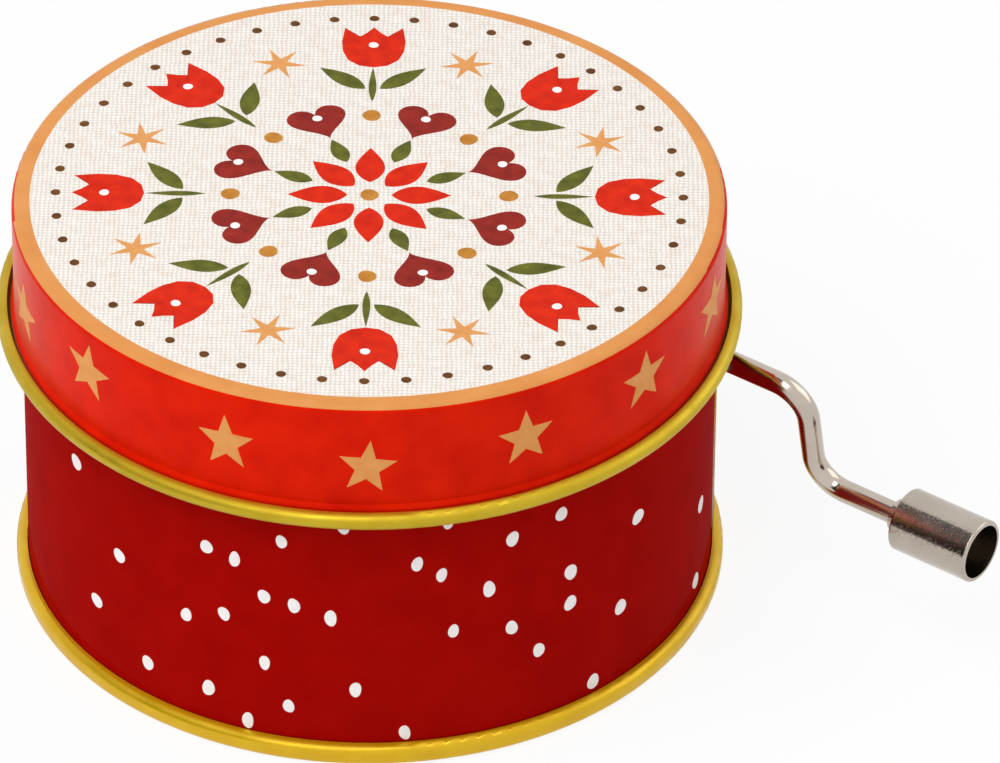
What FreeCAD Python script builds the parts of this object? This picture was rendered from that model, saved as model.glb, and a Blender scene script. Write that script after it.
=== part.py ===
"""Hand-cranked cylinder music box in a round printed tin with a lift-off lid.

Millimetres, +Z up. The origin is the centre of the tin's base, on the surface that it stands on.
The crank shaft lies along +X, and the pinned drum turns about an axis along +Y below it.
"""

import FreeCAD, Part
import math
import os

V = FreeCAD.Vector
X_AXIS = V(1, 0, 0)
Y_AXIS = V(0, 1, 0)
Z_AXIS = V(0, 0, 1)
TOUCHING = 1e-6

# Tin sheet, wall and lid
SHEET = 0.3
BODY_RADIUS = 31.7
TIN_HEIGHT = 40.0
LID_GAP = 0.4
LID_EDGE_BEND = 0.6
BORDER_WIDTH = 1.66
BEAD_RADIUS = 0.79
BEAD_STEP = 0.32
NECK_HEIGHT = 0.51
CURL_END = 0.16
HEM_DEPTH = 3.0
HEM_GAP = 0.1
SIDE_SEAM_WIDTH = 3.5
SIDE_SEAM_RISE = 0.2
SIDE_SEAM_ANGLE = 40.6
CRANK_HOLE_GAP = 1.55

# Base panel and the seam that joins it to the wall
PANEL_RECESS = 2.2
SEAM_WIDTH = 1.1
SEAM_HEIGHT = 2.0
SEAM_BEND = 0.6
SEAM_GAP = 0.1
CHUCK_GAP = 0.1
CHUCK_BEND = 0.36
HOOK_BEND = 0.27

# Movement: bedplate and its fixings to the base panel
SPACER_HEIGHT = 1.5
SPACER_RADIUS = 3.0
BED_THICKNESS = 2.0
BED_WALL_GAP = 1.2
BED_OVERHANG = 3.0
BED_CORNER = 1.0
BASE_SCREW_RADIUS = 1.25
BASE_SCREW_HEAD_RADIUS = 2.3
BASE_SCREW_HEAD_HEIGHT = 1.3
SCREW_GAP = 0.05
SLOT_WIDTH_SHARE = 0.3
SLOT_DEPTH_SHARE = 0.45
HEAD_ROUND_SHARE = 0.2
DRUM_FLOOR_GAP = 1.5

# Pinned drum, its worm wheel and its arbor
DRUM_X = 8.0
DRUM_RADIUS = 6.5
DRUM_WALL = 0.6
DRUM_MARGIN = 0.8
NOTES = 18
NOTE_PITCH = 1.1
PIN_HEIGHT = 0.8
PIN_RADIUS = 0.2
PIN_STEPS = 40
PINS_PER_NOTE = 5
STEPS_TO_NEXT_NOTE = 7
STEPS_TO_NEXT_PIN = 8
TUNE_VARIETY = 5
ARBOR_RADIUS = 1.0
PLUG_DEPTH = 2.5
PLUG_GAP = 0.02
CAP_FLANGE = 0.8
HUB_RADIUS = 2.6
RUNNING_GAP = 0.04
END_PLAY = 0.3

# Worm and wheel teeth
MODULE = 0.5
WHEEL_TEETH = 24
WHEEL_WIDTH = 2.6
WHEEL_SHOULDER = 1.5
WORM_PITCH_RADIUS = 2.3
WORM_TURNS = 5.6
TOOTH_SHARE = 0.36
ADDENDUM = 0.9
DEDENDUM = 1.2
PRESSURE_ANGLE = 20.0
THREAD_BURIED = 0.1

# Comb
COMB_THICKNESS = 1.0
TIP_GAP = 0.25
TOOTH_SLOT = 0.3
LONG_TOOTH = 13.0
SHORT_TOOTH = 8.5
COMB_LAND = 7.5
COMB_SCREW_RADIUS = 1.2
COMB_SCREW_HEAD_RADIUS = 2.2
COMB_SCREW_HEAD_HEIGHT = 1.4
COMB_SCREW_SPACING = 11.0
COMB_SCREW_GRIP = 6.0
COMB_HOLE_SPARE = 1.5
WEIGHTS = 7
WEIGHT_LENGTH = 3.6
WEIGHT_HEIGHT = 2.0
WEIGHT_SETBACK = 0.9

# Brackets that carry the arbor and the crank
BRACKET_SHEET = 1.5
FRONT_BRACKET_WIDTH = 9.0
BRACKET_HEADROOM = 3.6
FOOT_LENGTH = 5.6
FOOT_WIDTH = 4.6
FOOT_SIDE_GAP = 1.0
BRACKET_SCREW_RADIUS = 1.0
BRACKET_SCREW_HEAD_RADIUS = 1.8
BRACKET_SCREW_HEAD_HEIGHT = 1.1
BUSH_RADIUS = 2.0
BUSH_FLANGE_RADIUS = 2.9
BUSH_FLANGE = 0.6
WORM_END_PLAY = 0.2

# Crank, whose shaft passes through the wall at one side of the tin
CRANK_INSET = 13.7
ROD_RADIUS = 1.05
ROD_TAIL = 1.0
ROD_BEND = 3.2
CRANK_LID_GAP = 3.26
ARM_STANDOFF = 7.3
ARM_LENGTH = 11.1
ARM_TILT = 11.5
GRIP_RUN = 10.0
KNOB_LENGTH = 8.3
KNOB_RADIUS = 3.0
KNOB_WALL = 0.42
KNOB_FLOOR = 1.4
KNOB_EDGE = 0.2
KNOB_GAP = 0.08
COLLAR_RADIUS = 1.5
COLLAR_LENGTH = 1.0
RIVET_RADIUS = 1.8
RIVET_LENGTH = 0.8

# Heights that follow from the stack of pieces, from the base up
panel_top = PANEL_RECESS + SHEET
bed_bottom = panel_top + SPACER_HEIGHT
bed_top = bed_bottom + BED_THICKNESS
pin_tip_radius = DRUM_RADIUS + PIN_HEIGHT
drum_z = bed_top + DRUM_FLOOR_GAP + pin_tip_radius
wheel_radius = MODULE * WHEEL_TEETH / 2
crank_z = drum_z + wheel_radius + WORM_PITCH_RADIUS
bead_bottom = crank_z + ROD_RADIUS + CRANK_LID_GAP
bead_z = bead_bottom + BEAD_RADIUS

# Radii and places that follow from the tin and the drum
body_inner = BODY_RADIUS - SHEET
hem_inner = body_inner - HEM_GAP - SHEET
lid_underside = TIN_HEIGHT - SHEET
lid_inner = BODY_RADIUS + LID_GAP
lid_outer = lid_inner + SHEET
bead_middle = lid_outer + BEAD_RADIUS + (BEAD_STEP - SHEET)
bead_outer = bead_middle + BEAD_RADIUS
seam_outer = BODY_RADIUS + SEAM_WIDTH
crank_y = BODY_RADIUS - CRANK_INSET
drum_length = NOTES * NOTE_PITCH + 2 * DRUM_MARGIN
wheel_front = crank_y - WHEEL_WIDTH / 2
wheel_back = crank_y + WHEEL_WIDTH / 2
drum_back = wheel_front - WHEEL_SHOULDER
drum_front = drum_back - drum_length
front_bracket_face = drum_front - CAP_FLANGE - END_PLAY
rear_bracket_face = wheel_back + BUSH_FLANGE_RADIUS
first_note_y = drum_front + DRUM_MARGIN + NOTE_PITCH / 2
comb_tooth_half = (NOTE_PITCH - TOOTH_SLOT) / 2
tip_x = DRUM_X - pin_tip_radius - TIP_GAP
comb_back = tip_x - LONG_TOOTH - COMB_LAND
comb_bottom = drum_z - COMB_THICKNESS / 2
comb_top = drum_z + COMB_THICKNESS / 2
worm_pitch = math.pi * MODULE
worm_length = WORM_TURNS * worm_pitch
worm_tip = WORM_PITCH_RADIUS + ADDENDUM * MODULE
worm_root = WORM_PITCH_RADIUS - DEDENDUM * MODULE
wheel_tip = wheel_radius + ADDENDUM * MODULE
wheel_root = wheel_radius - DEDENDUM * MODULE
flank_slope = math.tan(math.radians(PRESSURE_ANGLE))
gear_tip_half = TOOTH_SHARE * worm_pitch / 2 - ADDENDUM * MODULE * flank_slope
gear_root_half = TOOTH_SHARE * worm_pitch / 2 + DEDENDUM * MODULE * flank_slope
ear_face = worm_length / 2 + WORM_END_PLAY + BUSH_FLANGE
arm_x = math.sqrt(bead_outer ** 2 - crank_y ** 2) + ARM_STANDOFF
knob_x = arm_x + GRIP_RUN


def box(x0, x1, y0, y1, z0, z1):
    """A block between two opposite corners."""
    return Part.makeBox(x1 - x0, y1 - y0, z1 - z0, V(x0, y0, z0))


def rod(start, end, radius):
    """A round bar from one point to another."""
    return Part.makeCylinder(radius, (end - start).Length, start, end - start)


def drum_bar(y0, y1, radius):
    """A round bar on the axis that the drum turns about."""
    return rod(V(DRUM_X, y0, drum_z), V(DRUM_X, y1, drum_z), radius)


def crank_bar(x0, x1, radius):
    """A round bar on the axis that the crank turns about."""
    return rod(V(x0, crank_y, crank_z), V(x1, crank_y, crank_z), radius)


def drilled(shape, spots, end_height, radius):
    """A shape with an upright round hole at each spot, from the spot's own height to end_height."""
    for spot in spots:
        shape = shape.cut(rod(spot, V(spot.x, spot.y, end_height), radius))
    return shape


def fused(first, *others):
    """One solid from shapes that touch or overlap, with the seams between coplanar faces removed."""
    return first.multiFuse(list(others)).removeSplitter()


def rounded_side(points, bends, shift):
    """Edges of a bent line moved sideways by shift, with a circular bend at each inner point.

    Points are (radius, height) pairs. A bend of zero marks a point on a straight stretch.
    """
    edges = []
    middle = [V(r, 0, z) for r, z in points]
    normal = [None] * len(middle)
    for i in range(len(middle) - 1):
        way = (middle[i + 1] - middle[i]).normalize()
        normal[i] = V(-way.z, 0, way.x)
    last = middle[0] + normal[0] * shift
    for i in range(1, len(middle) - 1):
        before = (middle[i] - middle[i - 1]).normalize()
        after = (middle[i + 1] - middle[i]).normalize()
        turn = before.x * after.z - before.z * after.x
        if not bends[i]:
            enter = leave = middle[i] + normal[i] * shift
        else:
            side = 1 if turn > 0 else -1
            half = before.getAngle(after) / 2
            run = bends[i] * math.tan(half)
            centre = middle[i] - before * run + normal[i - 1] * bends[i] * side
            radius = bends[i] - side * shift
            enter = middle[i] - before * run + normal[i - 1] * shift
            leave = middle[i] + after * run + normal[i] * shift
            crown = centre + (middle[i] - centre).normalize() * radius
        if (enter - last).Length > TOUCHING:
            edges.append(Part.LineSegment(last, enter).toShape())
        if bends[i]:
            edges.append(Part.Arc(enter, crown, leave).toShape())
        last = leave
    end = middle[-1] + normal[-2] * shift
    if (end - last).Length > TOUCHING:
        edges.append(Part.LineSegment(last, end).toShape())
    return edges


def sheet_ring(stations):
    """A bent sheet turned about the tin's axis. Stations are (radius, height, bend) of its middle line."""
    points = [(r, z) for r, z, bend in stations]
    bends = [bend for r, z, bend in stations]
    outer = rounded_side(points, bends, SHEET / 2)
    inner = rounded_side(points, bends, -SHEET / 2)
    ends = []
    for at in (0, -1):
        ends.append(Part.LineSegment(outer[at].Vertexes[at].Point, inner[at].Vertexes[at].Point).toShape())
    outline = Part.Wire(Part.__sortEdges__(outer + inner + ends))
    return Part.Face(outline).revolve(V(0, 0, 0), Z_AXIS, 360)


def screw(seat, way, shank_radius, shank_length, head_radius, head_height):
    """A slotted cheese-head screw. The seat is under its head, and way points along its shank."""
    slot_width = head_radius * SLOT_WIDTH_SHARE
    slot_depth = head_height * SLOT_DEPTH_SHARE
    head = rod(seat - way * head_height, seat, head_radius)
    rim = [e for e in head.Edges if e.Closed and (e.CenterOfMass - seat).Length > head_height / 2]
    head = head.makeFillet(head_height * HEAD_ROUND_SHARE, rim)
    shank = rod(seat, seat + way * shank_length, shank_radius)
    top = (seat - way * head_height).z
    bottom = top + way.z * slot_depth
    slot = box(seat.x - head_radius, seat.x + head_radius, seat.y - slot_width / 2, seat.y + slot_width / 2,
               min(top, bottom), max(top, bottom))
    return fused(head, shank).cut(slot)


def grouped(shapes):
    """Separate solids kept together as one node."""
    return Part.makeCompound(shapes)


def body_wall():
    """The tin's wall: a hem at the top, a hook in the base seam, a side seam and the crank's hole."""
    wall = BODY_RADIUS - SHEET / 2
    hem = hem_inner + SHEET / 2
    top = lid_underside - SHEET / 2
    hook = seam_outer - SHEET - SEAM_GAP - SHEET / 2
    flange = SHEET + SEAM_GAP + SHEET / 2
    fold = (SHEET + HEM_GAP) / 2
    shell = sheet_ring([
        (hem, top - HEM_DEPTH, 0),
        (hem, top, fold),
        (wall, top, fold),
        (wall, flange, HOOK_BEND),
        (hook, flange, HOOK_BEND),
        (hook, SEAM_HEIGHT - SHEET / 2 - SEAM_BEND, 0),
    ])
    span = math.degrees(SIDE_SEAM_WIDTH / BODY_RADIUS)
    lap_bottom = SEAM_HEIGHT + SEAM_GAP
    lap_height = bead_z - lap_bottom
    lap = Part.makeCylinder(BODY_RADIUS + SIDE_SEAM_RISE, lap_height, V(0, 0, lap_bottom), Z_AXIS, span)
    lap = lap.cut(Part.makeCylinder(BODY_RADIUS - SHEET / 2, TIN_HEIGHT))
    lap.rotate(V(0, 0, 0), Z_AXIS, SIDE_SEAM_ANGLE - span / 2)
    hole = crank_bar(DRUM_X, bead_outer, ROD_RADIUS + CRANK_HOLE_GAP)
    return shell.fuse(lap).cut(hole)


def lid_shell():
    """The drawn lid: flat top, printed border, straight skirt and an edge curled outwards into a bead."""
    skirt = lid_inner + SHEET / 2
    curl = BEAD_RADIUS - SHEET / 2
    left = bead_middle - curl
    right = bead_middle + curl
    top = TIN_HEIGHT - SHEET / 2
    neck = bead_z + curl
    return sheet_ring([
        (0, top, 0),
        (lid_outer - BORDER_WIDTH, top, 0),
        (skirt, top, LID_EDGE_BEND),
        (skirt, neck + NECK_HEIGHT, SHEET),
        (left, neck, SHEET),
        (left, bead_z - curl, curl),
        (right, bead_z - curl, curl),
        (right, neck, curl),
        (bead_middle - CURL_END, neck, 0),
    ])


def bottom_panel():
    """The recessed base, with its edge folded round the wall's hook as the seam that the tin stands on."""
    chuck = body_inner - CHUCK_GAP - SHEET / 2
    rim = seam_outer - SHEET / 2
    floor = PANEL_RECESS + SHEET / 2
    panel = sheet_ring([
        (0, floor, 0),
        (chuck, floor, CHUCK_BEND),
        (chuck, SHEET / 2, CHUCK_BEND),
        (rim, SHEET / 2, SEAM_BEND),
        (rim, SEAM_HEIGHT - SHEET / 2, SEAM_BEND),
        (BODY_RADIUS + CHUCK_GAP, SEAM_HEIGHT - SHEET / 2, 0),
    ])
    return drilled(panel, base_screw_spots(), bed_top, BASE_SCREW_RADIUS + SCREW_GAP)


def base_screw_spots():
    """Where the three screws come up through the base panel into the bedplate."""
    rest_middle = comb_back + COMB_LAND / 2
    inset = BASE_SCREW_HEAD_RADIUS + BED_OVERHANG
    front = front_bracket_face - BRACKET_SHEET - FOOT_LENGTH + BASE_SCREW_HEAD_RADIUS
    return [
        V(rest_middle, front + inset, 0),
        V(rest_middle, drum_back - inset, 0),
        V(DRUM_X + FRONT_BRACKET_WIDTH / 2 + inset, (drum_front + drum_back) / 2, 0),
    ]


def movement_spacers():
    """Soft rings that hold the bedplate off the base panel, so that it can ring."""
    rings = []
    for spot in base_screw_spots():
        low = V(spot.x, spot.y, panel_top)
        high = V(spot.x, spot.y, bed_bottom)
        rings.append(rod(low, high, SPACER_RADIUS).cut(rod(low, high, BASE_SCREW_RADIUS + SCREW_GAP)))
    return grouped(rings)


def base_screws():
    """The three screws that hold the movement, put in from under the base."""
    length = bed_top - PANEL_RECESS
    return grouped([
        screw(V(spot.x, spot.y, PANEL_RECESS), Z_AXIS, BASE_SCREW_RADIUS, length,
              BASE_SCREW_HEAD_RADIUS, BASE_SCREW_HEAD_HEIGHT)
        for spot in base_screw_spots()
    ])


def comb_screw_spots():
    """Where the two comb screws stand, on the middle of the comb's land."""
    x = comb_back + COMB_LAND / 2
    middle = (drum_front + drum_back) / 2
    half = COMB_SCREW_SPACING / 2
    return [V(x, middle - half, comb_top), V(x, middle + half, comb_top)]


def front_foot_spot():
    """Where the front bracket's screw stands."""
    return V(DRUM_X, front_bracket_face - BRACKET_SHEET - FOOT_LENGTH / 2, bed_top + BRACKET_SHEET)


def rear_foot_edges():
    """The inner edges of the rear bracket's two feet, clear of the worm wheel."""
    reach = wheel_tip + FOOT_SIDE_GAP
    return DRUM_X - reach, DRUM_X + reach


def rear_foot_spots():
    """Where the rear bracket's two screws stand."""
    left, right = rear_foot_edges()
    y = rear_bracket_face - FOOT_LENGTH / 2
    z = bed_top + BRACKET_SHEET
    return [V(left - FOOT_WIDTH / 2, y, z), V(right + FOOT_WIDTH / 2, y, z)]


def foot_spots():
    """Where all three bracket screws stand."""
    return [front_foot_spot(), *rear_foot_spots()]


def movement_room():
    """The round space inside the tin's hem that the movement is cut to fit."""
    return Part.makeCylinder(hem_inner - BED_WALL_GAP, TIN_HEIGHT)


def bedplate():
    """The cast plate of the movement, with the raised rest that the comb is screwed to."""
    left, right = rear_foot_edges()
    front = front_bracket_face - BRACKET_SHEET - FOOT_LENGTH
    plate = box(comb_back - BED_OVERHANG / 2, right + FOOT_WIDTH, front, rear_bracket_face + BRACKET_SHEET,
                bed_bottom, bed_top)
    upright = [e for e in plate.Edges if abs(e.tangentAt(e.FirstParameter).z) > 1 - TOUCHING]
    plate = plate.makeFillet(BED_CORNER, upright).common(movement_room())
    rest = box(comb_back, comb_back + COMB_LAND, drum_front, drum_back, bed_bottom, comb_bottom)
    bed = fused(plate, rest)
    comb_hole_end = comb_bottom - COMB_SCREW_GRIP - COMB_HOLE_SPARE
    bed = drilled(bed, comb_screw_spots(), comb_hole_end, COMB_SCREW_RADIUS + SCREW_GAP)
    bed = drilled(bed, foot_spots(), bed_bottom, BRACKET_SCREW_RADIUS + SCREW_GAP)
    return drilled(bed, base_screw_spots(), bed_top, BASE_SCREW_RADIUS + SCREW_GAP)


def comb():
    """The steel comb: tuned teeth of falling length, whose tips stand just clear of the drum's pins."""
    last_note_y = first_note_y + (NOTES - 1) * NOTE_PITCH
    outline = [V(comb_back, first_note_y - comb_tooth_half, comb_bottom)]
    for note in range(NOTES):
        front = first_note_y + note * NOTE_PITCH - comb_tooth_half
        back = front + 2 * comb_tooth_half
        root = tip_x - LONG_TOOTH + (LONG_TOOTH - SHORT_TOOTH) * note / (NOTES - 1)
        outline += [V(root, front, comb_bottom), V(tip_x, front, comb_bottom)]
        outline += [V(tip_x, back, comb_bottom), V(root, back, comb_bottom)]
    outline.append(V(comb_back, last_note_y + comb_tooth_half, comb_bottom))
    plate = Part.Face(Part.makePolygon(outline + [outline[0]])).extrude(V(0, 0, COMB_THICKNESS))
    return drilled(plate, comb_screw_spots(), comb_bottom, COMB_SCREW_RADIUS + SCREW_GAP)


def comb_weights():
    """Lead slugs under the tips of the longest teeth, which lower their notes."""
    slugs = []
    front = tip_x - WEIGHT_SETBACK
    for note in range(WEIGHTS):
        share = 1 - note / (WEIGHTS + 1)
        y = first_note_y + note * NOTE_PITCH
        slugs.append(box(front - WEIGHT_LENGTH * share, front, y - comb_tooth_half, y + comb_tooth_half,
                         comb_bottom - WEIGHT_HEIGHT * share, comb_bottom))
    return grouped(slugs)


def comb_screws():
    """The two screws that clamp the comb to its rest."""
    length = COMB_THICKNESS + COMB_SCREW_GRIP
    return grouped([
        screw(spot, -Z_AXIS, COMB_SCREW_RADIUS, length, COMB_SCREW_HEAD_RADIUS, COMB_SCREW_HEAD_HEIGHT)
        for spot in comb_screw_spots()
    ])


def front_bracket():
    """The angle bracket that carries the front end of the arbor."""
    half = FRONT_BRACKET_WIDTH / 2
    back = front_bracket_face
    front = front_bracket_face - BRACKET_SHEET
    upright = box(DRUM_X - half, DRUM_X + half, front, back, bed_top, drum_z)
    crown = drum_bar(front, back, half)
    foot = box(DRUM_X - half, DRUM_X + half, front - FOOT_LENGTH, front, bed_top, bed_top + BRACKET_SHEET)
    bracket = fused(upright, crown, foot).cut(drum_bar(front, back, ARBOR_RADIUS + RUNNING_GAP))
    return drilled(bracket, [front_foot_spot()], bed_top, BRACKET_SCREW_RADIUS + SCREW_GAP)


def rear_bracket():
    """The bracket behind the worm wheel: two feet, the arbor's bearing and an ear for each crank bush."""
    left, right = rear_foot_edges()
    front = rear_bracket_face
    back = rear_bracket_face + BRACKET_SHEET
    top = crank_z + BRACKET_HEADROOM
    ear_bottom = crank_z - BUSH_FLANGE_RADIUS
    ear_reach = ear_face + BRACKET_SHEET
    shoulder = bed_top + FOOT_WIDTH
    plates = [box(DRUM_X - ear_reach, DRUM_X + ear_reach, front, back, bed_top, top)]
    plates.append(box(left - FOOT_WIDTH, right + FOOT_WIDTH, front, back, bed_top, shoulder))
    for x in (left - FOOT_WIDTH, right):
        plates.append(box(x, x + FOOT_WIDTH, front - FOOT_LENGTH, front, bed_top, bed_top + BRACKET_SHEET))
    for x in (DRUM_X - ear_reach, DRUM_X + ear_face):
        plates.append(box(x, x + BRACKET_SHEET, crank_y - BUSH_FLANGE_RADIUS, front, ear_bottom, top))
    bracket = fused(*plates).common(movement_room())
    bracket = bracket.cut(drum_bar(front, back, ARBOR_RADIUS + RUNNING_GAP))
    bracket = bracket.cut(crank_bar(DRUM_X - ear_reach, DRUM_X + ear_reach, BUSH_RADIUS + PLUG_GAP))
    return drilled(bracket, rear_foot_spots(), bed_top, BRACKET_SCREW_RADIUS + SCREW_GAP)


def bracket_screws():
    """The three small screws that hold the two brackets to the bedplate."""
    length = BRACKET_SHEET + BED_THICKNESS
    return grouped([
        screw(spot, -Z_AXIS, BRACKET_SCREW_RADIUS, length,
              BRACKET_SCREW_HEAD_RADIUS, BRACKET_SCREW_HEAD_HEIGHT)
        for spot in foot_spots()
    ])


def crank_bush(side):
    """A flanged bush in an ear of the rear bracket. Side is -1 for the inner ear and 1 for the outer."""
    seat = DRUM_X + side * ear_face
    inner_end = seat - side * BUSH_FLANGE
    outer_end = seat + side * BRACKET_SHEET
    barrel = crank_bar(seat, outer_end, BUSH_RADIUS)
    flange = crank_bar(inner_end, seat, BUSH_FLANGE_RADIUS)
    bore = crank_bar(inner_end, outer_end, ROD_RADIUS + RUNNING_GAP)
    return fused(barrel, flange).cut(bore)


def drum_shell():
    """The brass drum, with the pins that play the tune raised from its wall in rows of one note each."""
    pins = []
    for note in range(NOTES):
        middle = V(DRUM_X, first_note_y + note * NOTE_PITCH, drum_z)
        for k in range(PINS_PER_NOTE):
            step = STEPS_TO_NEXT_NOTE * note + STEPS_TO_NEXT_PIN * k + (note * k) % TUNE_VARIETY
            angle = 2 * math.pi * step / PIN_STEPS
            way = V(math.sin(angle), 0, math.cos(angle))
            foot = middle + way * (DRUM_RADIUS - DRUM_WALL / 2)
            pins.append(rod(foot, middle + way * pin_tip_radius, PIN_RADIUS))
    tube = drum_bar(drum_front, drum_back, DRUM_RADIUS)
    tube = tube.cut(drum_bar(drum_front, drum_back, DRUM_RADIUS - DRUM_WALL))
    return tube.multiFuse(pins)


def wheel_outline(y, twist):
    """The outline of the worm wheel's teeth in the plane at y, turned by twist radians about the arbor."""
    tip_half = gear_tip_half / wheel_tip
    root_half = gear_root_half / wheel_root
    points = []
    for k in range(WHEEL_TEETH):
        middle = 2 * math.pi * (k + 0.5) / WHEEL_TEETH + twist
        for radius, shift in ((wheel_root, -root_half), (wheel_tip, -tip_half),
                              (wheel_tip, tip_half), (wheel_root, root_half)):
            angle = middle + shift
            points.append(V(DRUM_X + radius * math.sin(angle), y, drum_z + radius * math.cos(angle)))
    return Part.makePolygon(points + [points[0]])


def drum_wheel():
    """The moulded worm wheel: slanted teeth, a shoulder, a plug in the drum and a hub at the bracket."""
    lead = math.atan(worm_pitch / (2 * math.pi * WORM_PITCH_RADIUS))
    twist = WHEEL_WIDTH / 2 * math.tan(lead) / wheel_radius
    outlines = [wheel_outline(wheel_front, -twist), wheel_outline(wheel_back, twist)]
    teeth = Part.makeLoft(outlines, True, True)
    shoulder = drum_bar(drum_back, wheel_front, wheel_root)
    plug = drum_bar(drum_back - PLUG_DEPTH, drum_back, DRUM_RADIUS - DRUM_WALL - PLUG_GAP)
    hub = drum_bar(wheel_back, rear_bracket_face - END_PLAY, HUB_RADIUS)
    bore = drum_bar(drum_back - PLUG_DEPTH, rear_bracket_face, ARBOR_RADIUS + PLUG_GAP)
    return teeth.multiFuse([shoulder, plug, hub]).cut(bore)


def drum_cap():
    """The plug that closes the drum's front end."""
    flange = drum_bar(drum_front - CAP_FLANGE, drum_front, DRUM_RADIUS)
    plug = drum_bar(drum_front, drum_front + PLUG_DEPTH, DRUM_RADIUS - DRUM_WALL - PLUG_GAP)
    bore = drum_bar(drum_front - CAP_FLANGE, drum_front + PLUG_DEPTH, ARBOR_RADIUS + PLUG_GAP)
    return fused(flange, plug).cut(bore)


def drum_arbor():
    """The steel arbor that the drum turns on, held in both brackets."""
    front = front_bracket_face - BRACKET_SHEET - END_PLAY
    back = rear_bracket_face + BRACKET_SHEET + END_PLAY
    return drum_bar(front, back, ARBOR_RADIUS)


def crank_worm():
    """The single-start worm on the crank, with a thread below the axis at the middle of the worm wheel."""
    buried = worm_root - THREAD_BURIED
    turns = math.ceil(WORM_TURNS / 2) + 1
    helix = Part.makeHelix(worm_pitch, 2 * turns * worm_pitch, WORM_PITCH_RADIUS)
    corners = [
        V(buried, 0, -gear_root_half),
        V(worm_tip, 0, -gear_tip_half),
        V(worm_tip, 0, gear_tip_half),
        V(buried, 0, gear_root_half),
    ]
    section = Part.makePolygon(corners + [corners[0]])
    thread = Part.Wire(helix).makePipeShell([section], True, True)
    thread.translate(V(0, 0, -turns * worm_pitch))
    half = worm_length / 2
    blank = Part.makeCylinder(worm_tip + MODULE, worm_length, V(0, 0, -half))
    core = Part.makeCylinder(worm_root, worm_length, V(0, 0, -half))
    bore = Part.makeCylinder(ROD_RADIUS + PLUG_GAP, worm_length, V(0, 0, -half))
    worm = core.fuse(thread.common(blank)).cut(bore)
    worm.rotate(V(0, 0, 0), Y_AXIS, 90)
    worm.translate(V(DRUM_X, crank_y, crank_z))
    return worm


def arm_way():
    """The direction of the crank's arm, which hangs down with a small lean."""
    tilt = math.radians(ARM_TILT)
    return V(0, math.sin(tilt), -math.cos(tilt))


def knob_axis_point(x):
    """A point on the axis that the knob turns about."""
    return V(x, crank_y, crank_z) + arm_way() * ARM_LENGTH


def bent_wire(points, bend):
    """A line through points, with a circular bend of the same radius at each inner point."""
    edges = []
    last = points[0]
    for before, corner, after in zip(points, points[1:], points[2:]):
        into = (corner - before).normalize()
        out = (after - corner).normalize()
        half = into.getAngle(out) / 2
        run = bend * math.tan(half)
        inward = (out - into).normalize()
        centre = corner + inward * (bend / math.cos(half))
        edges.append(Part.LineSegment(last, corner - into * run).toShape())
        edges.append(Part.Arc(corner - into * run, centre - inward * bend, corner + out * run).toShape())
        last = corner + out * run
    edges.append(Part.LineSegment(last, points[-1]).toShape())
    return Part.Wire(edges)


def crank_rod():
    """The bent wire crank: shaft, arm and grip, with a collar and a riveted end that keep the knob on."""
    tail = DRUM_X - ear_face - BRACKET_SHEET - ROD_TAIL
    rivet_x = knob_x + KNOB_FLOOR + KNOB_GAP
    start = V(tail, crank_y, crank_z)
    corner = V(arm_x, crank_y, crank_z)
    path = bent_wire([start, corner, knob_axis_point(arm_x), knob_axis_point(rivet_x)], ROD_BEND)
    section = Part.Wire(Part.makeCircle(ROD_RADIUS, start, X_AXIS))
    wire = path.makePipeShell([section], True, False)
    collar_end = knob_axis_point(knob_x - KNOB_GAP)
    collar = rod(collar_end - X_AXIS * COLLAR_LENGTH, collar_end, COLLAR_RADIUS)
    rivet = rod(knob_axis_point(rivet_x), knob_axis_point(rivet_x + RIVET_LENGTH), RIVET_RADIUS)
    return wire.multiFuse([collar, rivet])


def crank_knob():
    """The turned cup that the fingers hold, free to spin on the end of the crank."""
    back = knob_axis_point(knob_x)
    front = knob_axis_point(knob_x + KNOB_LENGTH)
    cup = rod(back, front, KNOB_RADIUS)
    cup = cup.makeFillet(KNOB_EDGE, [e for e in cup.Edges if e.Closed])
    cup = cup.cut(rod(knob_axis_point(knob_x + KNOB_FLOOR), front, KNOB_RADIUS - KNOB_WALL))
    return cup.cut(rod(back, front, ROD_RADIUS + KNOB_GAP))


NODES = {
    "body_wall": body_wall,
    "bottom_panel": bottom_panel,
    "lid_shell": lid_shell,
    "movement_spacers": movement_spacers,
    "base_screws": base_screws,
    "bedplate": bedplate,
    "comb": comb,
    "comb_weights": comb_weights,
    "comb_screws": comb_screws,
    "front_bracket": front_bracket,
    "rear_bracket": rear_bracket,
    "bracket_screws": bracket_screws,
    "inner_crank_bush": lambda: crank_bush(-1),
    "outer_crank_bush": lambda: crank_bush(1),
    "drum_shell": drum_shell,
    "drum_wheel": drum_wheel,
    "drum_cap": drum_cap,
    "drum_arbor": drum_arbor,
    "crank_rod": crank_rod,
    "crank_worm": crank_worm,
    "crank_knob": crank_knob,
}

os.makedirs("parts", exist_ok=True)
for name, make in NODES.items():
    shape = make()
    shape.exportStep(f"parts/{name}.step")
    print(name, "solids", len(shape.Solids), "volume", round(shape.Volume, 2), "valid", shape.isValid())
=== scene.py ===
"""Looks for a hand-cranked music box in a round printed tin: materials, printed ink, light and camera."""

import math
import random

import bpy
from mathutils import Matrix, Vector


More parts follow.
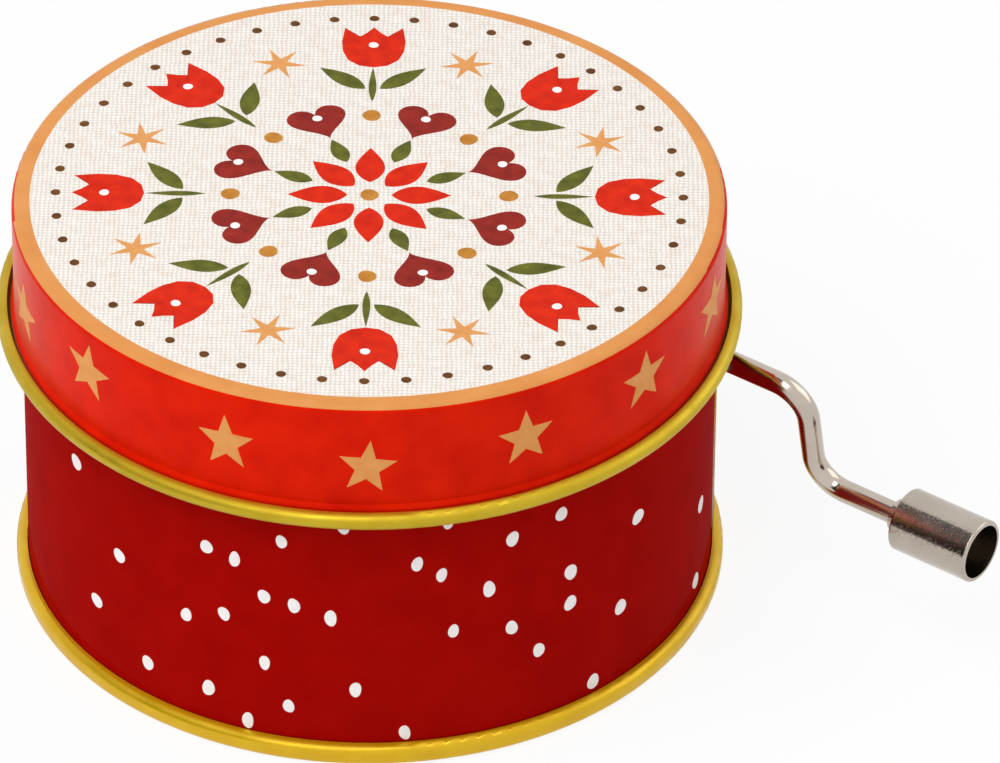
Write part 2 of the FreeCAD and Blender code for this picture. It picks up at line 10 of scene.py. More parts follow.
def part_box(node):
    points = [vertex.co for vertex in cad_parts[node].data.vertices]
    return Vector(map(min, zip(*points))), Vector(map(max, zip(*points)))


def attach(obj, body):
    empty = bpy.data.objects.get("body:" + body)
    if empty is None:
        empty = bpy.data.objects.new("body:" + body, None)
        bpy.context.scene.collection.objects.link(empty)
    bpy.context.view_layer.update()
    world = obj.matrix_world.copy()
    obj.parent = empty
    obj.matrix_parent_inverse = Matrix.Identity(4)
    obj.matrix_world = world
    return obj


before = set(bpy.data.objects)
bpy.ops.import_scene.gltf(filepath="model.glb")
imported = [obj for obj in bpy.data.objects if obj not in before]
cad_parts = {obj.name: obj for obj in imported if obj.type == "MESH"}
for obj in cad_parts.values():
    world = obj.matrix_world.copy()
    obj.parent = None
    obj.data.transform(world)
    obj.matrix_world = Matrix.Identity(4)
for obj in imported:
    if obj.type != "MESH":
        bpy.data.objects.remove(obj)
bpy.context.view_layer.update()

MM = 0.001
TINY = 1e-9

# Radii and heights at which the printed zones of the lid meet
LID_RADIUS = 32.4 * MM
LID_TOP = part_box("lid_shell")[1].z
BORDER_INNER = 30.74 * MM
BORDER_DROP = 0.42 * MM
GROOVE_RADIUS = LID_RADIUS + 0.4 * MM
BEAD_INSIDE = LID_RADIUS - 0.2 * MM
BEAD_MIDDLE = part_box("lid_shell")[0].z + 0.79 * MM

# Radii and heights at which the printed zones of the wall meet
BODY_RADIUS = 31.7 * MM
SIDE_SEAM_RADIUS = BODY_RADIUS + 0.08 * MM
WALL_SKIN = BODY_RADIUS - 0.1 * MM
WALL_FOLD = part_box("body_wall")[1].z - 0.36 * MM
BASE_SEAM_TOP = 2.0 * MM

# A face with more than this share of its normal pointing away from the axis is on the outside
FACES_OUT = 0.2

# The warm tint of the lacquer's sheen, and two tones each of the card and the floor
SHEEN_TINT = (1, 0.7, 0.45, 1)
CARD_TONES = ((0.012, 0.011, 0.010, 1), (0.020, 0.018, 0.016, 1))
FLOOR_TONES = ((0.94, 0.94, 0.94, 1), (0.92, 0.92, 0.92, 1))

# Ink is a thin solid, sunk a little into the tin and standing a little above it
INK_BURIED = 0.02 * MM
INK_RISE = 0.02 * MM
INK_STEP = 0.6 * MM

# The camera looks down on the tin, with the crank to the right. Angles are in degrees.
CAMERA_AZIMUTH = 36.4
CAMERA_ELEVATION = 36.4
CAMERA_ROLL = 0.5
CAMERA_DISTANCE = 850 * MM
CAMERA_LENS = 333.5
SENSOR_WIDTH = 36
AIM_RIGHT = 11.95 * MM
AIM_DOWN = 0.78 * MM
AIM_HEIGHT = 20 * MM
FACING = CAMERA_AZIMUTH - 90

# Softboxes and card, turned in degrees to the right of the camera, with sizes in metres
KEY_LIGHT = {"turn": -50, "elevation": 61, "distance": 0.9, "size": 0.7, "watts": 5.8}
FILL_LIGHT = {"turn": 108, "elevation": 35, "distance": 1.0, "size": 0.8, "watts": 2.0}
DARK_CARD = {"turn": -72, "elevation": 40, "distance": 0.5, "width": 0.56, "length": 0.9, "lean": 25}
WORLD_GLOW = 0.4
FLOOR_GLOW = 0.9
FLOOR_REACH = 2.0
FLOOR_HEIGHT = -0.05 * MM

# Stars round the lid's band, in front as (degrees to the right of the camera, millimetres up)
SEEN_STARS = [(-72.8, 33.9), (-49.7, 35.4), (-22.1, 34.4), (0.6, 33.5), (26.2, 34.5), (50.1, 35), (73.4, 35)]
STAR_COUNT = 15
STAR_POINTS = 5
STAR_RADIUS = 2.7 * MM
STAR_INNER = 0.42
STAR_STRETCH = 1.1
STAR_HEIGHT = 34.8
STAR_LEAN = 0.12

# Snow on the wall, in front as (degrees round the tin, millimetres up)
SEEN_SNOW = [
    (-109, 23), (-98, 16), (-104, 9), (-80, 21.5), (-75, 21), (-67, 24), (-84, 13), (-77, 14.5), (-70, 17.5),
    (-65, 17), (-59, 16), (-92, 5.5), (-70, 10), (-80, 5.5), (-66, 5.5), (-55, 8), (-73, 3), (-47, 3),
    (-45, 22), (-41, 20.5), (-33, 18), (-39, 14), (-29, 23), (-20, 24), (-3, 19), (-18, 17), (-18, 13.5),
    (-7, 10), (-29, 13), (-24, 9.5), (20, 12), (18, 4), (-13, 3.2), (-56.9, 26.3), (-40, 26.3),
]
SNOW_COUNT = 74
SNOW_BEHIND = (48, 212)
SNOW_HEIGHTS = (3.5, 25.5)
SNOW_APART = 3.2
SNOW_WIDTHS = (0.95, 1.15)
SNOW_TALLNESS = (1.45, 1.75)
SNOW_WOBBLE = 0.05
SNOW_LEAN = 0.15
MM_TO_A_DEGREE = 0.55

# Print near the sides of the seen front is made wider, which offsets part of the narrowing of a round wall
LEAST_COSINE = 0.1
STAR_SIDE_POWER = 0.25
SNOW_SIDE_STRETCH = 1.6

# Motifs of the rosette on the lid's top. Leaves are given as (length, width).
PETAL = (5.4 * MM, 2.7 * MM)
INNER_LEAF = (3.8 * MM, 1.6 * MM)
STEM = (5.4 * MM, 0.7 * MM)
SIDE_LEAF = (5.4 * MM, 1.8 * MM)
HEART_SIZE = 5.6 * MM
TULIP_SIZE = 6.4 * MM
CRYSTAL_POINTS = 6
CRYSTAL_OUTER = 2.5 * MM
CRYSTAL_INNER = 0.75 * MM
SMALL_DOT = 0.9 * MM
LARGE_DOT = 1.7 * MM
DOT_WOBBLE = 0.03

# Rings of the rosette: how often most motifs come round, and the radius of each ring
ROSETTE_FOLD = 8
PETAL_RING = 4.7 * MM
INNER_LEAF_RING = 7.5 * MM
HEART_RING = 12.6 * MM
HEART_DOT_RING = 13.0 * MM
STEM_RING = 17.6 * MM
SIDE_LEAF_RING = 18.8 * MM
CRYSTAL_RING = 22.6 * MM
TULIP_RING = 23.6 * MM
TULIP_DOT_RING = 24.0 * MM
RIM_DOT_RING = 28.4 * MM
RIM_DOTS = 48
SIDE_LEAF_APART = 8.5
SIDE_LEAF_LEAN = 0.75


def colour(red, green, blue):
    """A colour given as screen values from 0 to 255, in linear light for a shader."""
    def linear(value):
        share = value / 255
        return share / 12.92 if share <= 0.04045 else ((share + 0.055) / 1.055) ** 2.4
    return (linear(red), linear(green), linear(blue), 1.0)


def node(tree, kind, inputs=None, **settings):
    """Adds a shader node. Inputs that are sockets are linked, and other values are set."""
    made = tree.nodes.new(kind)
    for key, value in settings.items():
        setattr(made, key, value)
    for key, value in (inputs or {}).items():
        if isinstance(value, bpy.types.NodeSocket):
            tree.links.new(value, made.inputs[key])
        else:
            made.inputs[key].default_value = value
    return made


def new_material(name, **settings):
    """A material with one Principled shader, whose constant values are set on its own sockets."""
    made = bpy.data.materials.new(name)
    made.use_nodes = True
    shader = made.node_tree.nodes["Principled BSDF"]
    for key, value in settings.items():
        shader.inputs[key.replace("_", " ")].default_value = value
    return made, made.node_tree, shader


def place(tree):
    """The point on the object, in metres, in the frame of the part."""
    return node(tree, "ShaderNodeTexCoord").outputs["Object"]


def noise(tree, scale, detail=3.0):
    """Smooth noise from 0 to 1 with so many features to the metre."""
    inputs = {"Vector": place(tree), "Scale": scale, "Detail": detail}
    return node(tree, "ShaderNodeTexNoise", inputs).outputs["Fac"]


def spread(tree, value, low, high, to_low, to_high):
    """Maps a value from one range to another, held at the ends."""
    inputs = {"Value": value, "From Min": low, "From Max": high, "To Min": to_low, "To Max": to_high}
    return node(tree, "ShaderNodeMapRange", inputs).outputs["Result"]


def mixed(tree, factor, first, second):
    """A colour between two colours."""
    made = node(tree, "ShaderNodeMix", {0: factor, 6: first, 7: second}, data_type="RGBA")
    return made.outputs[2]


def maths(tree, operation, first, second):
    """One step of arithmetic on two numbers."""
    return node(tree, "ShaderNodeMath", {0: first, 1: second}, operation=operation).outputs[0]


def bump(tree, height, strength, distance):
    """A normal from a height that is 0 to 1 over a distance in metres."""
    inputs = {"Height": height, "Strength": strength, "Distance": distance}
    return node(tree, "ShaderNodeBump", inputs).outputs["Normal"]


def print_material(name, main, shade, shine, coat, sheen=0.0):
    """Printed lacquer on tin: cloudy ink under a thin coat, with a faint orange peel and a soft sheen."""
    made, tree, shader = new_material(
        name, Roughness=0.3, Specular_IOR_Level=shine, Coat_Weight=coat, Coat_Roughness=0.08,
        Sheen_Weight=sheen, Sheen_Roughness=0.3, Sheen_Tint=SHEEN_TINT)
    cloud = spread(tree, noise(tree, scale=260.0, detail=5.0), 0.35, 0.7, 0.0, 1.0)
    peel = bump(tree, noise(tree, scale=900.0), strength=0.06, distance=0.05 * MM)
    tree.links.new(mixed(tree, cloud, main, shade), shader.inputs["Base Color"])
    tree.links.new(peel, shader.inputs["Normal"])
    return made


def ink_material(name, main, shade):
    """Flat printing ink with the streaks of a brush in it."""
    made, tree, shader = new_material(name, Roughness=0.55, Specular_IOR_Level=0.12)
    streaks = spread(tree, noise(tree, scale=700.0, detail=6.0), 0.3, 0.7, 0.0, 1.0)
    grain = bump(tree, noise(tree, scale=3000.0), strength=0.1, distance=0.02 * MM)
    tree.links.new(mixed(tree, streaks, main, shade), shader.inputs["Base Color"])
    tree.links.new(grain, shader.inputs["Normal"])
    return made


def linen_material(name, light, dark):
    """A printed linen weave: two crossing sets of uneven threads, one of them level in the picture."""
    made, tree, shader = new_material(name, Roughness=0.6, IOR=1.45, Coat_Weight=0.08, Coat_Roughness=0.3)
    turn = {"Vector": place(tree), "Rotation": (0, 0, math.radians(-CAMERA_AZIMUTH))}
    cloth = node(tree, "ShaderNodeMapping", turn).outputs["Vector"]
    uneven = {"Vector": cloth, "Scale": 740.0, "Distortion": 2.6, "Detail": 2.0, "Detail Scale": 1.2}
    warp = node(tree, "ShaderNodeTexWave", uneven, bands_direction="X").outputs["Fac"]
    weft = node(tree, "ShaderNodeTexWave", uneven, bands_direction="Y").outputs["Fac"]
    weave = maths(tree, "MULTIPLY", warp, weft)
    gaps = spread(tree, weave, 0.0, 0.55, 0.65, 0.0)
    slubs = spread(tree, noise(tree, scale=900.0, detail=4.0), 0.35, 0.7, 0.0, 0.25)
    darkness = maths(tree, "ADD", gaps, slubs)
    tree.links.new(mixed(tree, darkness, light, dark), shader.inputs["Base Color"])
    tree.links.new(bump(tree, weave, strength=0.12, distance=0.05 * MM), shader.inputs["Normal"])
    return made


def metal_material(name, main, shade, roughness, metallic=1.0, scratch=0.06, pitting=0.0):
    """Plain or plated metal with a worn, slightly uneven polish, and pits in it where asked for."""
    made, tree, shader = new_material(name, Metallic=metallic)
    patches = noise(tree, scale=300.0, detail=4.0)
    surface = noise(tree, scale=3600.0, detail=2.0)
    if pitting:
        pits = spread(tree, noise(tree, scale=6000.0, detail=2.0), 0.55, 0.68, 0.0, pitting)
        surface = maths(tree, "ADD", surface, pits)
    polish = spread(tree, patches, 0.3, 0.7, roughness * 0.75, roughness * 1.3)
    tree.links.new(mixed(tree, patches, main, shade), shader.inputs["Base Color"])
    tree.links.new(polish, shader.inputs["Roughness"])
    tree.links.new(bump(tree, surface, strength=scratch, distance=0.03 * MM), shader.inputs["Normal"])
    return made


def moulded_material(name, main, shade, roughness):
    """Moulded plastic or rubber with a fine grain."""
    made, tree, shader = new_material(name, Roughness=roughness, IOR=1.48)
    grain = bump(tree, noise(tree, scale=5000.0), strength=0.15, distance=0.03 * MM)
    tree.links.new(mixed(tree, noise(tree, scale=350.0), main, shade), shader.inputs["Base Color"])
    tree.links.new(grain, shader.inputs["Normal"])
    return made


# Materials of the tin and the crank, each with its main and its second colour
linen = linen_material("linen_print", colour(255, 254, 251), colour(220, 203, 186))
border_tan = print_material("border_tan", colour(229, 156, 88), colour(222, 146, 78), shine=0.06, coat=0.06)
band_red = print_material("band_red", colour(232, 32, 2), colour(214, 22, 1), shine=0.02, coat=0.02,
                          sheen=0.3)
body_red = print_material("body_red", colour(168, 7, 2), colour(158, 4, 1), shine=0.0, coat=0.03)
bead_gold = metal_material("bead_gold", colour(208, 180, 40), colour(186, 157, 20), 0.44, metallic=0.7)
seam_gold = metal_material("seam_gold", colour(228, 188, 18), colour(210, 164, 4), 0.32, metallic=0.5)
bare_tin = metal_material("bare_tin", colour(206, 204, 198), colour(192, 190, 184), 0.45)
crank_nickel = metal_material("crank_nickel", colour(203, 192, 179), colour(178, 168, 155), 0.17)
knob_nickel = metal_material("knob_nickel", colour(196, 186, 174), colour(168, 158, 146), 0.16,
                             scratch=0.22, pitting=1.4)

# Materials of the movement
zinc_casting = metal_material("zinc_casting", colour(150, 150, 146), colour(128, 128, 126), 0.5, scratch=0.3)
comb_steel = metal_material("comb_steel", colour(186, 187, 190), colour(168, 169, 173), 0.28, scratch=0.2)
lead = metal_material("lead", colour(104, 106, 112), colour(86, 88, 94), 0.55)
drum_brass = metal_material("drum_brass", colour(216, 180, 98), colour(196, 158, 78), 0.26)
worm_brass = metal_material("worm_brass", colour(212, 174, 90), colour(190, 152, 70), 0.3)
bush_brass = metal_material("bush_brass", colour(210, 172, 88), colour(188, 150, 70), 0.32)
arbor_steel = metal_material("arbor_steel", colour(190, 190, 192), colour(172, 172, 175), 0.2)
screw_steel = metal_material("screw_steel", colour(186, 186, 182), colour(166, 166, 160), 0.3)
zinc_plate = metal_material("zinc_plate", colour(196, 195, 186), colour(176, 174, 164), 0.34, scratch=0.15)
rubber = moulded_material("rubber", colour(34, 34, 35), colour(26, 26, 27), 0.7)
nylon = moulded_material("nylon", colour(232, 229, 218), colour(222, 217, 203), 0.45)

# Inks of the print
star_tan = ink_material("star_tan", colour(234, 163, 94), colour(227, 151, 80))
snow_white = ink_material("snow_white", colour(255, 254, 252), colour(249, 245, 243))
red_ink = ink_material("ink_red", colour(230, 46, 12), colour(204, 30, 6))
wine_ink = ink_material("ink_wine", colour(160, 44, 34), colour(128, 30, 24))
olive_ink = ink_material("ink_olive", colour(112, 114, 40), colour(78, 82, 26))
ochre_ink = ink_material("ink_ochre", colour(206, 144, 62), colour(182, 116, 38))
brown_ink = ink_material("ink_brown", colour(120, 76, 32), colour(86, 50, 18))
tan_ink = ink_material("ink_tan", colour(231, 166, 100), colour(222, 150, 84))

# Pieces of one material each
plain_pieces = {
    "bottom_panel": seam_gold,
    "crank_rod": crank_nickel,
    "crank_knob": knob_nickel,
    "bedplate": zinc_casting,
    "comb": comb_steel,
    "comb_weights": lead,
    "front_bracket": zinc_plate,
    "rear_bracket": zinc_plate,
    "drum_shell": drum_brass,
    "drum_wheel": nylon,
    "drum_cap": nylon,
    "drum_arbor": arbor_steel,
    "crank_worm": worm_brass,
    "inner_crank_bush": bush_brass,
    "outer_crank_bush": bush_brass,
    "base_screws": screw_steel,
    "comb_screws": screw_steel,
    "bracket_screws": screw_steel,
    "movement_spacers": rubber,
}


def round_place(mesh, face):
    """A face's distance from the tin's axis, how far it points away from the axis, and its lowest point."""
    middle = face.center
    radius = math.hypot(middle.x, middle.y)
    away = (face.normal.x * middle.x + face.normal.y * middle.y) / max(radius, TINY)
    lowest = min(mesh.vertices[i].co.z for i in face.vertices)
    return radius, away, lowest


def lid_zone(mesh, face):
    """Linen on the top, tan round its edge, red on the skirt, gold on the bead, and bare tin inside."""
    radius, away, lowest = round_place(mesh, face)
    if radius > GROOVE_RADIUS or (face.center.z < BEAD_MIDDLE and radius > BEAD_INSIDE):
        return bead_gold
    if face.normal.z > 0 and lowest > LID_TOP - BORDER_DROP:
        return linen if radius < BORDER_INNER else border_tan
    return band_red if away > FACES_OUT else bare_tin


def wall_zone(mesh, face):
    """Red print outside, bare gold on the raised side seam and bare tin inside."""
    radius, away, lowest = round_place(mesh, face)
    if radius > SIDE_SEAM_RADIUS and face.center.z > BASE_SEAM_TOP:
        return seam_gold
    printed = away > FACES_OUT and radius > WALL_SKIN and lowest < WALL_FOLD
    return body_red if printed else bare_tin


def dress(name, materials, zone):
    """Gives a CAD node its materials, with the one that its zone names on each face."""
    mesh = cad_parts[name].data
    mesh.materials.clear()
    for made in materials:
        mesh.materials.append(made)
    for face in mesh.polygons:
        face.material_index = materials.index(zone(mesh, face))


for piece, material in plain_pieces.items():
    dress(piece, [material], lambda mesh, face: material)
dress("lid_shell", [linen, border_tan, band_red, bead_gold, bare_tin], lid_zone)
dress("body_wall", [body_red, bare_tin, seam_gold], wall_zone)


def star_outline(points, outer, inner):
    """A star with its first point upwards."""
    corners = []
    for i in range(points * 2):
        radius = outer if i % 2 == 0 else inner
        angle = math.pi / 2 + math.pi * i / points
        corners.append((radius * math.cos(angle), radius * math.sin(angle)))
    return corners


def blob_outline(width, height, wobble, chance, corners=20):
    """An uneven round spot, as a loaded brush leaves it."""
    shift = chance.uniform(0, math.tau)
    lean = chance.uniform(0, math.tau)
    outline = []
    for i in range(corners):
        angle = math.tau * i / corners
        radius = 1 + wobble * math.sin(2 * angle + shift) + wobble * 0.7 * math.sin(3 * angle + lean)
        outline.append((width / 2 * radius * math.cos(angle), height / 2 * radius * math.sin(angle)))
    return outline


def leaf_outline(length, width, corners=14):
    """A leaf or petal lying along the first axis, with its stalk end at the left."""
    upper = []
    for i in range(1, corners):
        share = i / corners
        upper.append((length * (share - 0.5), width / 2 * math.sin(math.pi * share ** 0.8)))
    lower = [(x, -y) for x, y in reversed(upper)]
    return [(-length / 2, 0.0), *upper, (length / 2, 0.0), *lower]


def heart_outline(size, corners=40):
    """A heart with its point downwards, from the usual curve, which is 32 units wide."""
    outline = []
    for i in range(corners):
        t = math.tau * i / corners
        x = 16 * math.sin(t) ** 3
        y = 13 * math.cos(t) - 5 * math.cos(2 * t) - 2 * math.cos(3 * t) - math.cos(4 * t)
        outline.append((x * size / 32, y * size / 32))
    outline.reverse()
    return outline


def tulip_outline(size):
    """A tulip cup with three points, standing on its stalk end."""
    half = [(0.0, -0.5), (0.2, -0.46), (0.36, -0.32), (0.44, -0.1), (0.46, 0.15), (0.42, 0.5), (0.3, 0.37),
            (0.2, 0.28), (0.1, 0.38)]
    right = [(x * size, y * size) for x, y in half]
    left = [(-x, y) for x, y in reversed(right[1:])]
    return [*right, (0.0, 0.52 * size), *left]


def turned(outline, angle, right=0.0, up=0.0):
    """An outline turned about its own middle and then moved."""
    c, s = math.cos(angle), math.sin(angle)
    return [(x * c - y * s + right, x * s + y * c + up) for x, y in outline]


def on_top(x, y, rise):
    """A point on the flat of the lid."""
    return Vector((x, y, LID_TOP + rise))


def on_wall(radius, angle, height):
    """A mapping that rolls a flat outline on to the side of the tin, about that angle and height."""
    def mapped(right, up, rise):
        around = math.radians(angle) + right / radius
        reach = radius + rise
        return Vector((reach * math.cos(around), reach * math.sin(around), height + up))
    return mapped


def divided(outline):
    """The same outline with points added along its long edges, so that it can follow a curved wall."""
    fine = []
    for (x0, y0), (x1, y1) in zip(outline, [*outline[1:], outline[0]]):
        steps = max(1, math.ceil(math.hypot(x1 - x0, y1 - y0) / INK_STEP))
        fine += [(x0 + (x1 - x0) * i / steps, y0 + (y1 - y0) * i / steps) for i in range(steps)]
    return fine


def ink_solid(rough_outline, mapping, rise, start):
    """One motif as a thin closed solid: its points, and its faces with points counted from a start."""
    outline = divided(rough_outline)
    count = len(outline)
    mid_x = sum(x for x, y in rough_outline) / len(rough_outline)
    mid_y = sum(y for x, y in rough_outline) / len(rough_outline)
    reach = max(math.hypot(x - mid_x, y - mid_y) for x, y in outline)
    rings = max(1, math.ceil(reach / INK_STEP))
    points = []
    for level in (rise, -INK_BURIED):
        for k in range(rings, 0, -1):
            share = k / rings
            smaller = [(mid_x + (x - mid_x) * share, mid_y + (y - mid_y) * share) for x, y in outline]
            points += [mapping(x, y, level) for x, y in smaller]
        points.append(mapping(mid_x, mid_y, level))
    under = start + rings * count + 1
    last = (rings - 1) * count
    middle = rings * count
    faces = []
    for i in range(count):
        j = (i + 1) % count
        for k in range(rings - 1):
            out = k * count
            into = out + count
            faces.append((start + out + i, start + out + j, start + into + j, start + into + i))
            faces.append((under + out + j, under + out + i, under + into + i, under + into + j))
        faces.append((start + last + i, start + last + j, start + middle))
        faces.append((under + last + j, under + last + i, under + middle))
        faces.append((start + j, start + i, under + i, under + j))
    return points, faces


def add_object(name, data):
    """A new object in the scene."""
    made = bpy.data.objects.new(name, data)
    bpy.context.scene.collection.objects.link(made)
    return made


def add_mesh(name, points, faces, material):
    """A new object in the scene, made of a mesh with one material."""
    mesh = bpy.data.meshes.new(name)
    mesh.from_pydata(points, [], faces)
    mesh.materials.append(material)
    mesh.update()
    return add_object(name, mesh)


def print_ink(name, motifs, material, body, rise=INK_RISE):
    """One thin layer of ink of one colour, from (outline, mapping) pairs. Each motif is a closed solid."""
    points = []
    faces = []
    for outline, mapping in motifs:
        more_points, more_faces = ink_solid(outline, mapping, rise, len(points))
        points += more_points
        faces += more_faces
    layer = add_mesh(name, points, faces, material)
    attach(layer, body)


def side_narrowing(angle):
    """How many times narrower print looks on a round wall at so many degrees from the camera's side."""
    return 1 / max(math.cos(math.radians(angle)), LEAST_COSINE)


def print_stars(chance):
    """A row of stars round the lid's band: the seen ones in their places, and even steps behind."""
    even_star = star_outline(STAR_POINTS, STAR_RADIUS, STAR_RADIUS * STAR_INNER)
    star = [(x, y * STAR_STRETCH) for x, y in even_star]
    behind = STAR_COUNT - len(SEEN_STARS)
    first, last = SEEN_STARS[0][0], SEEN_STARS[-1][0]
    gap = (360 + first - last) / (behind + 1)
    stars = [(angle, height, side_narrowing(angle) ** STAR_SIDE_POWER) for angle, height in SEEN_STARS]
    stars += [(last + gap * (i + 1), STAR_HEIGHT, 1.0) for i in range(behind)]
    motifs = []
    for angle, height, wider in stars:
        leaning = turned(star, chance.uniform(-STAR_LEAN, STAR_LEAN))
        outline = [(x * wider, y) for x, y in leaning]
        motifs.append((outline, on_wall(LID_RADIUS, FACING + angle, height * MM)))
    print_ink("band_stars", motifs, star_tan, "lid")


def print_snow(chance):
    """Snow on the wall: the seen dots in their places, and scattered ones behind."""
    snow = list(SEEN_SNOW)
    while len(snow) < SNOW_COUNT:
        angle, height = chance.uniform(*SNOW_BEHIND), chance.uniform(*SNOW_HEIGHTS)
        if all(math.hypot((angle - a) * MM_TO_A_DEGREE, height - h) > SNOW_APART for a, h in snow):
            snow.append((angle, height))
    motifs = []
    for angle, height in snow:
        wide = chance.uniform(*SNOW_WIDTHS) * MM
        tall = chance.uniform(*SNOW_TALLNESS) * MM
        if (angle, height) in SEEN_SNOW:
            wide *= min(SNOW_SIDE_STRETCH, side_narrowing(angle - FACING))
        dot = blob_outline(wide, tall, SNOW_WOBBLE, chance)
        outline = turned(dot, chance.uniform(-SNOW_LEAN, SNOW_LEAN))
        motifs.append((outline, on_wall(BODY_RADIUS, angle, height * MM)))
    print_ink("wall_snow", motifs, snow_white, "tin")


def ring(outline, radius, start=0.0, upright=-math.pi / 2, count=ROSETTE_FOLD):
    """Copies of an outline on a circle. As upright stands, the outline's up points away from the middle."""
    motifs = []
    for i in range(count):
        angle = math.radians(FACING + start) + math.tau * i / count
        shape = turned(outline, angle + upright, radius * math.cos(angle), radius * math.sin(angle))
        motifs.append((shape, on_top))
    return motifs


def print_rosette(chance):
    """A folk rosette on the lid's top, with one layer of ink to a colour."""
    between = 360 / ROSETTE_FOLD / 2
    small_dot = blob_outline(SMALL_DOT, SMALL_DOT, DOT_WOBBLE, chance)
    large_dot = blob_outline(LARGE_DOT, LARGE_DOT, DOT_WOBBLE, chance)
    petals = ring(leaf_outline(*PETAL), PETAL_RING, upright=0.0)
    inner_leaves = ring(leaf_outline(*INNER_LEAF), INNER_LEAF_RING, between, upright=0.0)
    hearts = ring(heart_outline(HEART_SIZE), HEART_RING, between)
    stems = ring(leaf_outline(*STEM), STEM_RING, upright=0.0)
    tulips = ring(tulip_outline(TULIP_SIZE), TULIP_RING)
    crystals = ring(star_outline(CRYSTAL_POINTS, CRYSTAL_OUTER, CRYSTAL_INNER), CRYSTAL_RING, between)
    side_leaves = []
    for side in (-1, 1):
        leaning = side * SIDE_LEAF_LEAN
        side_leaves += ring(leaf_outline(*SIDE_LEAF), SIDE_LEAF_RING, side * SIDE_LEAF_APART, leaning)
    ochre_dots = ring(large_dot, 0.0, count=1) + ring(large_dot, HEART_RING)
    white_dots = ring(small_dot, TULIP_DOT_RING) + ring(small_dot, HEART_DOT_RING, between)
    print_ink("rosette_red", petals + tulips, red_ink, "lid")
    print_ink("rosette_wine", hearts, wine_ink, "lid")
    print_ink("rosette_olive", stems + inner_leaves + side_leaves, olive_ink, "lid")
    print_ink("rosette_tan", crystals, tan_ink, "lid")
    print_ink("rosette_ochre", ochre_dots, ochre_ink, "lid")
    print_ink("rosette_brown", ring(small_dot, RIM_DOT_RING, count=RIM_DOTS), brown_ink, "lid")
    print_ink("rosette_white", white_dots, snow_white, "lid", INK_RISE * 2)


def face_tin(thing, turn, elevation, distance):
    """Places a light or card round the tin, facing it, at so many degrees right of the camera and up."""
    angle = math.radians(FACING + turn)
    rise = math.radians(elevation)
    flat = distance * math.cos(rise)
    point = Vector((flat * math.cos(angle), flat * math.sin(angle), distance * math.sin(rise)))
    way = (Vector((0, 0, AIM_HEIGHT)) - point).to_track_quat("-Z", "Y")
    thing.matrix_world = Matrix.Translation(point) @ way.to_matrix().to_4x4()


def soft_light(name, turn, elevation, distance, size, watts):
    """A large square softbox that faces the tin."""
    lamp = bpy.data.lights.new(name, "AREA")
    lamp.size = size
    lamp.energy = watts
    face_tin(add_object(name, lamp), turn, elevation, distance)


def dark_card(turn, elevation, distance, width, length, lean):
    """A dark strip of card facing the tin that only reflections see, so that bright metal keeps contrast."""
    made, tree, shader = new_material("card_dark", Roughness=1.0)
    tone = mixed(tree, noise(tree, scale=4.0), *CARD_TONES)
    tree.links.new(tone, shader.inputs["Base Color"])
    right, up = width / 2, length / 2
    corners = turned([(-right, -up), (right, -up), (right, up), (-right, up)], math.radians(lean))
    card = add_mesh("dark_card", [(x, y, 0) for x, y in corners], [(0, 1, 2, 3)], made)
    card.visible_camera = False
    card.visible_diffuse = False
    card.visible_shadow = False
    face_tin(card, turn, elevation, distance)


def seen_rays(tree):
    """One for rays from the camera and those that metal or glass sends on, and nothing for other rays."""
    rays = node(tree, "ShaderNodeLightPath")
    seen = maths(tree, "MAXIMUM", rays.outputs["Is Camera Ray"], rays.outputs["Is Glossy Ray"])
    return maths(tree, "MAXIMUM", seen, rays.outputs["Is Transmission Ray"])


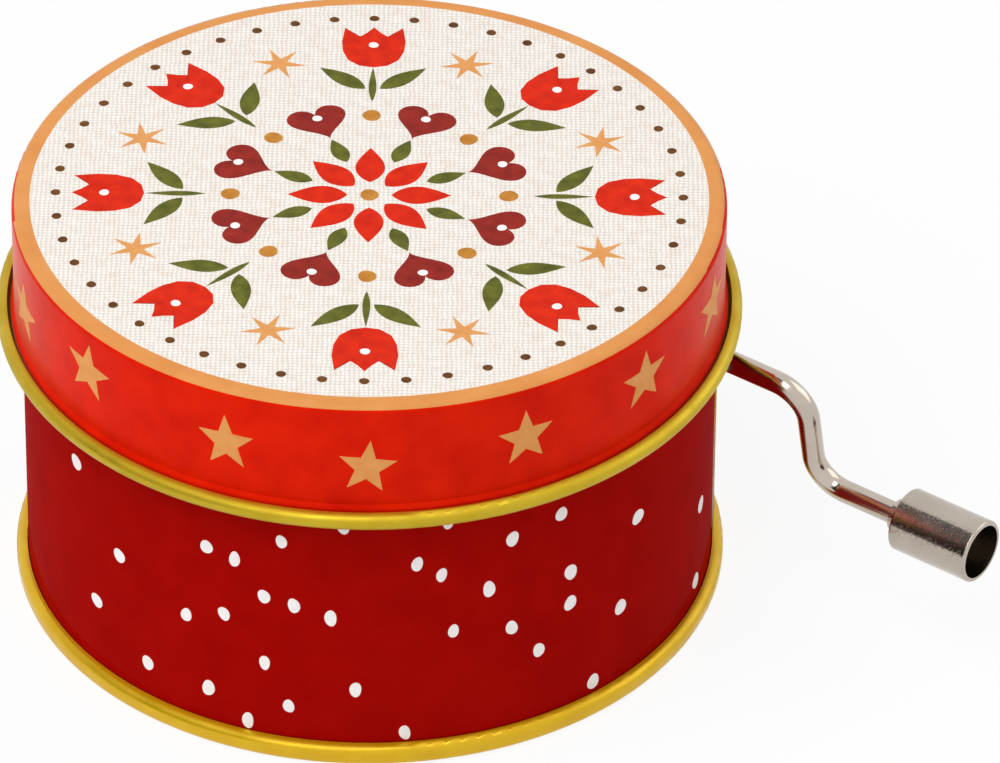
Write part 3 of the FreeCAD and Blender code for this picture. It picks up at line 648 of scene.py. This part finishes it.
def build_floor():
    """A pale floor that reads as white in the picture and keeps the tin's soft shadow."""
    made, tree, shader = new_material("floor_white", Roughness=0.9)
    tone = mixed(tree, noise(tree, scale=8.0), *FLOOR_TONES)
    tree.links.new(tone, shader.inputs["Base Color"])
    glow = node(tree, "ShaderNodeEmission", {"Strength": 1.0})
    share = maths(tree, "MULTIPLY", seen_rays(tree), FLOOR_GLOW)
    both = node(tree, "ShaderNodeMixShader", {0: share, 1: shader.outputs[0], 2: glow.outputs[0]})
    tree.links.new(both.outputs[0], tree.nodes["Material Output"].inputs["Surface"])
    ends = [(-1, -1), (1, -1), (1, 1), (-1, 1)]
    corners = [(x * FLOOR_REACH, y * FLOOR_REACH, FLOOR_HEIGHT) for x, y in ends]
    add_mesh("floor", corners, [(0, 1, 2, 3)], made)


def build_world():
    """White to the camera and in reflections, and a softer even light on the object."""
    world = bpy.data.worlds.new("studio")
    world.use_nodes = True
    tree = world.node_tree
    background = tree.nodes["Background"]
    background.inputs["Color"].default_value = (1, 1, 1, 1)
    strength = spread(tree, seen_rays(tree), 0.0, 1.0, WORLD_GLOW, 1.0)
    tree.links.new(strength, background.inputs["Strength"])
    bpy.context.scene.world = world


def build_camera():
    """The camera of the photograph, aimed a little to the right of the tin's axis."""
    data = bpy.data.cameras.new("camera")
    data.sensor_fit = "HORIZONTAL"
    data.sensor_width = SENSOR_WIDTH
    data.lens = CAMERA_LENS
    camera = add_object("camera", data)
    turn = Matrix.Rotation(math.radians(CAMERA_AZIMUTH), 4, "Z")
    tilt = Matrix.Rotation(math.radians(90 - CAMERA_ELEVATION), 4, "X")
    roll = Matrix.Rotation(math.radians(CAMERA_ROLL), 4, "Z")
    way = turn @ tilt @ roll
    point = Vector((0, 0, AIM_HEIGHT)) + way @ Vector((AIM_RIGHT, -AIM_DOWN, CAMERA_DISTANCE))
    camera.matrix_world = Matrix.Translation(point) @ way
    bpy.context.scene.camera = camera


# One source of chance for all the print, so that each run gives the same tin
print_chance = random.Random(7)
print_stars(print_chance)
print_snow(print_chance)
print_rosette(print_chance)

soft_light("key_light", **KEY_LIGHT)
soft_light("fill_light", **FILL_LIGHT)
dark_card(**DARK_CARD)
build_floor()
build_world()
build_camera()
bpy.context.scene.view_settings.view_transform = "Standard"
